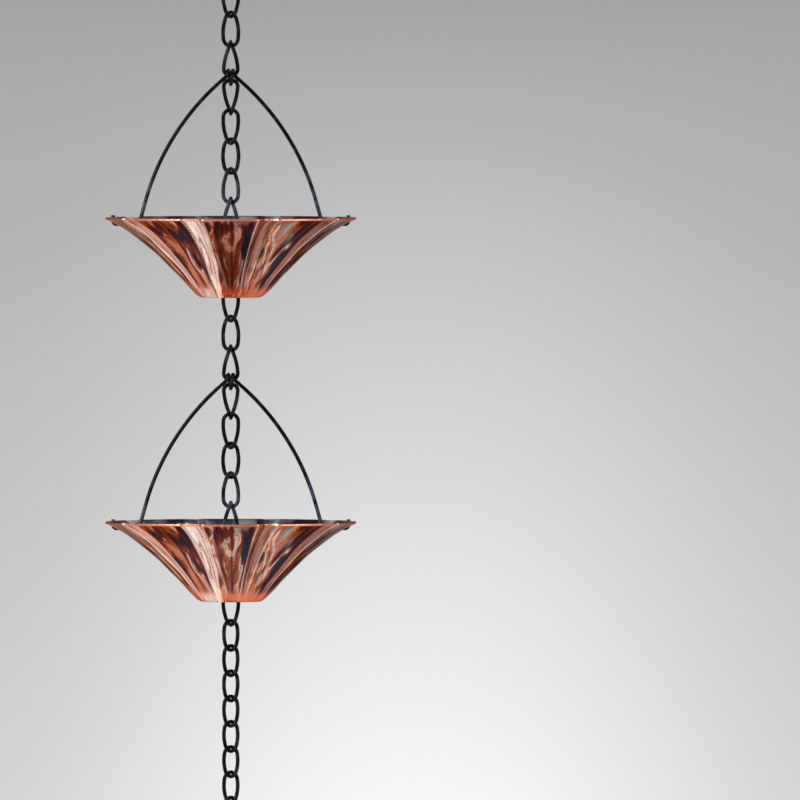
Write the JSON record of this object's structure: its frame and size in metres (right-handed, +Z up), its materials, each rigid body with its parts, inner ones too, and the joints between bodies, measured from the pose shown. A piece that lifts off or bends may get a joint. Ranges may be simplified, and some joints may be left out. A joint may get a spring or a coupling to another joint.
{
  "type": "rain chain",
  "caption": "Hanging rain chain: twisted black wire links, flared fluted copper cups on arched wire bails, and an amber glass drop at the foot.",
  "frame": {"origin": "the point in the top link's upper bow where the hook that carries the chain touches it", "axes": "+Z up along the hanging chain, -Y towards the viewer, +X to the viewer's right along the cup hooks"},
  "size_m": [0.1678, 0.166, 0.6313],
  "materials": {
    "black_wire": "satin black coated steel wire",
    "copper_sheet": "polished copper sheet with flame-coloured patina",
    "copper_wire": "bright copper wire",
    "amber_glass": "clear amber glass"
  },
  "bodies": {
    "link_01": {"link_01": "black_wire"},
    "link_02": {"link_02": "black_wire"},
    "link_03": {"link_03": "black_wire"},
    "upper_bail": {"upper_bail": "black_wire"},
    "upper_cup": {"upper_cup": "copper_sheet"},
    "link_04": {"link_04": "black_wire"},
    "link_05": {"link_05": "black_wire"},
    "link_06": {"link_06": "black_wire"},
    "link_07": {"link_07": "black_wire"},
    "link_08": {"link_08": "black_wire"},
    "link_09": {"link_09": "black_wire"},
    "link_10": {"link_10": "black_wire"},
    "link_11": {"link_11": "black_wire"},
    "link_12": {"link_12": "black_wire"},
    "link_13": {"link_13": "black_wire"},
    "lower_bail": {"lower_bail": "black_wire"},
    "lower_cup": {"lower_cup": "copper_sheet"},
    "link_14": {"link_14": "black_wire"},
    "link_15": {"link_15": "black_wire"},
    "link_16": {"link_16": "black_wire"},
    "link_17": {"link_17": "black_wire"},
    "link_18": {"link_18": "black_wire"},
    "link_19": {"link_19": "black_wire"},
    "link_20": {"link_20": "black_wire"},
    "link_21": {"link_21": "black_wire"},
    "tail_link_1": {"tail_link_1": "black_wire"},
    "tail_link_2": {"tail_link_2": "black_wire"},
    "tail_link_3": {"tail_link_3": "black_wire"},
    "tail_link_4": {"tail_link_4": "black_wire"},
    "tail_link_5": {"tail_link_5": "black_wire"},
    "tail_link_6": {"tail_link_6": "black_wire"},
    "tail_link_7": {"tail_link_7": "black_wire"},
    "tail_link_8": {"tail_link_8": "black_wire"},
    "drop_bail": {"drop_bail": "copper_wire"},
    "glass_drop": {"glass_drop": "amber_glass"}
  },
  "joints": [
    {"name": "link_02_swing", "type": "hinge", "parent": "link_01", "child": "link_02", "pos_m": [0, 0, -0.02135], "axis": [0.5, -0.866, 0], "range_deg": [-70, 70]},
    {"name": "link_03_swing", "type": "hinge", "parent": "link_02", "child": "link_03", "pos_m": [0, 0, -0.0411], "axis": [-0.866, 0.5, 0], "range_deg": [-70, 70]},
    {"name": "upper_bail_swing", "type": "hinge", "parent": "link_03", "child": "upper_bail", "pos_m": [0, 0, -0.06085], "axis": [1, 0, 0], "range_deg": [-25, 25]},
    {"name": "upper_cup_rock", "type": "hinge", "parent": "upper_bail", "child": "upper_cup", "pos_m": [0, 0, -0.16008], "axis": [-1, 0, 0], "range_deg": [-3, 3]},
    {"name": "link_04_swing", "type": "hinge", "parent": "upper_bail", "child": "link_04", "pos_m": [0, 0, -0.06376], "axis": [-1, 0, 0], "range_deg": [-0.9, 0.9]},
    {"name": "link_05_swing", "type": "hinge", "parent": "link_04", "child": "link_05", "pos_m": [0, 0, -0.08641], "axis": [0, -1, 0], "range_deg": [-1.1, 1.1]},
    {"name": "link_06_swing", "type": "hinge", "parent": "link_05", "child": "link_06", "pos_m": [0, 0, -0.10616], "axis": [-0.3827, 0.9239, 0], "range_deg": [-1.3, 1.3]},
    {"name": "link_07_swing", "type": "hinge", "parent": "link_06", "child": "link_07", "pos_m": [0, 0, -0.12591], "axis": [0.7071, -0.7071, 0], "range_deg": [-1.7, 1.7]},
    {"name": "link_08_swing", "type": "hinge", "parent": "link_07", "child": "link_08", "pos_m": [0, 0, -0.14566], "axis": [-0.9239, 0.3827, 0], "range_deg": [-2.2, 2.2]},
    {"name": "link_09_swing", "type": "hinge", "parent": "link_08", "child": "link_09", "pos_m": [0, 0, -0.16541], "axis": [1, 0, 0], "range_deg": [-3.2, 3.2]},
    {"name": "link_10_swing", "type": "hinge", "parent": "link_09", "child": "link_10", "pos_m": [0, 0, -0.18516], "axis": [-0.788, -0.6157, 0], "range_deg": [-5.9, 5.9]},
    {"name": "link_11_swing", "type": "hinge", "parent": "link_10", "child": "link_11", "pos_m": [0, 0, -0.20491], "axis": [0.2419, 0.9703, 0], "range_deg": [-20, 20]},
    {"name": "link_12_swing", "type": "hinge", "parent": "link_11", "child": "link_12", "pos_m": [0, 0, -0.22466], "axis": [0.4067, -0.9135, 0], "range_deg": [-70, 70]},
    {"name": "link_13_swing", "type": "hinge", "parent": "link_12", "child": "link_13", "pos_m": [0, 0, -0.24441], "axis": [-0.8387, 0.5446, 0], "range_deg": [-70, 70]},
    {"name": "lower_bail_swing", "type": "hinge", "parent": "link_13", "child": "lower_bail", "pos_m": [0, 0, -0.26416], "axis": [1, 0, 0], "range_deg": [-25, 25]},
    {"name": "lower_cup_rock", "type": "hinge", "parent": "lower_bail", "child": "lower_cup", "pos_m": [0, 0, -0.36339], "axis": [1, 0, 0], "range_deg": [-3, 3]},
    {"name": "link_14_swing", "type": "hinge", "parent": "lower_bail", "child": "link_14", "pos_m": [0, 0, -0.26707], "axis": [1, 0, 0], "range_deg": [-0.9, 0.9]},
    {"name": "link_15_swing", "type": "hinge", "parent": "link_14", "child": "link_15", "pos_m": [0, 0, -0.28972], "axis": [0, 1, 0], "range_deg": [-1.1, 1.1]},
    {"name": "link_16_swing", "type": "hinge", "parent": "link_15", "child": "link_16", "pos_m": [0, 0, -0.30947], "axis": [0.3827, -0.9239, 0], "range_deg": [-1.3, 1.3]},
    {"name": "link_17_swing", "type": "hinge", "parent": "link_16", "child": "link_17", "pos_m": [0, 0, -0.32922], "axis": [-0.7071, 0.7071, 0], "range_deg": [-1.7, 1.7]},
    {"name": "link_18_swing", "type": "hinge", "parent": "link_17", "child": "link_18", "pos_m": [0, 0, -0.34897], "axis": [0.9239, -0.3827, 0], "range_deg": [-2.2, 2.2]},
    {"name": "link_19_swing", "type": "hinge", "parent": "link_18", "child": "link_19", "pos_m": [0, 0, -0.36872], "axis": [-1, 0, 0], "range_deg": [-3.2, 3.2]},
    {"name": "link_20_swing", "type": "hinge", "parent": "link_19", "child": "link_20", "pos_m": [0, 0, -0.38847], "axis": [0.788, 0.6157, 0], "range_deg": [-5.9, 5.9]},
    {"name": "link_21_swing", "type": "hinge", "parent": "link_20", "child": "link_21", "pos_m": [0, 0, -0.40822], "axis": [-0.2419, -0.9703, 0], "range_deg": [-20, 20]},
    {"name": "tail_link_1_swing", "type": "hinge", "parent": "link_21", "child": "tail_link_1", "pos_m": [0, 0, -0.42797], "axis": [-0.4067, 0.9135, 0], "range_deg": [-70, 70]},
    {"name": "tail_link_2_swing", "type": "hinge", "parent": "tail_link_1", "child": "tail_link_2", "pos_m": [0, 0, -0.44487], "axis": [0.6293, -0.7771, 0], "range_deg": [-70, 70]},
    {"name": "tail_link_3_swing", "type": "hinge", "parent": "tail_link_2", "child": "tail_link_3", "pos_m": [0, 0, -0.46177], "axis": [-0.6293, 0.7771, 0], "range_deg": [-70, 70]},
    {"name": "tail_link_4_swing", "type": "hinge", "parent": "tail_link_3", "child": "tail_link_4", "pos_m": [0, 0, -0.47867], "axis": [0.6293, -0.7771, 0], "range_deg": [-70, 70]},
    {"name": "tail_link_5_swing", "type": "hinge", "parent": "tail_link_4", "child": "tail_link_5", "pos_m": [0, 0, -0.49557], "axis": [-0.6293, 0.7771, 0], "range_deg": [-70, 70]},
    {"name": "tail_link_6_swing", "type": "hinge", "parent": "tail_link_5", "child": "tail_link_6", "pos_m": [0, 0, -0.51247], "axis": [0.6293, -0.7771, 0], "range_deg": [-70, 70]},
    {"name": "tail_link_7_swing", "type": "hinge", "parent": "tail_link_6", "child": "tail_link_7", "pos_m": [0, 0, -0.52937], "axis": [-0.6293, 0.7771, 0], "range_deg": [-70, 70]},
    {"name": "tail_link_8_swing", "type": "hinge", "parent": "tail_link_7", "child": "tail_link_8", "pos_m": [0, 0, -0.54627], "axis": [0.6293, -0.7771, 0], "range_deg": [-70, 70]},
    {"name": "drop_bail_swing", "type": "hinge", "parent": "tail_link_8", "child": "drop_bail", "pos_m": [0, 0, -0.56317], "axis": [-0.6293, 0.7771, 0], "range_deg": [-70, 70]},
    {"name": "glass_drop_swing", "type": "hinge", "parent": "drop_bail", "child": "glass_drop", "pos_m": [0, 0, -0.57367], "axis": [0.7771, 0.6293, 0], "range_deg": [-70, 70]}
  ]
}
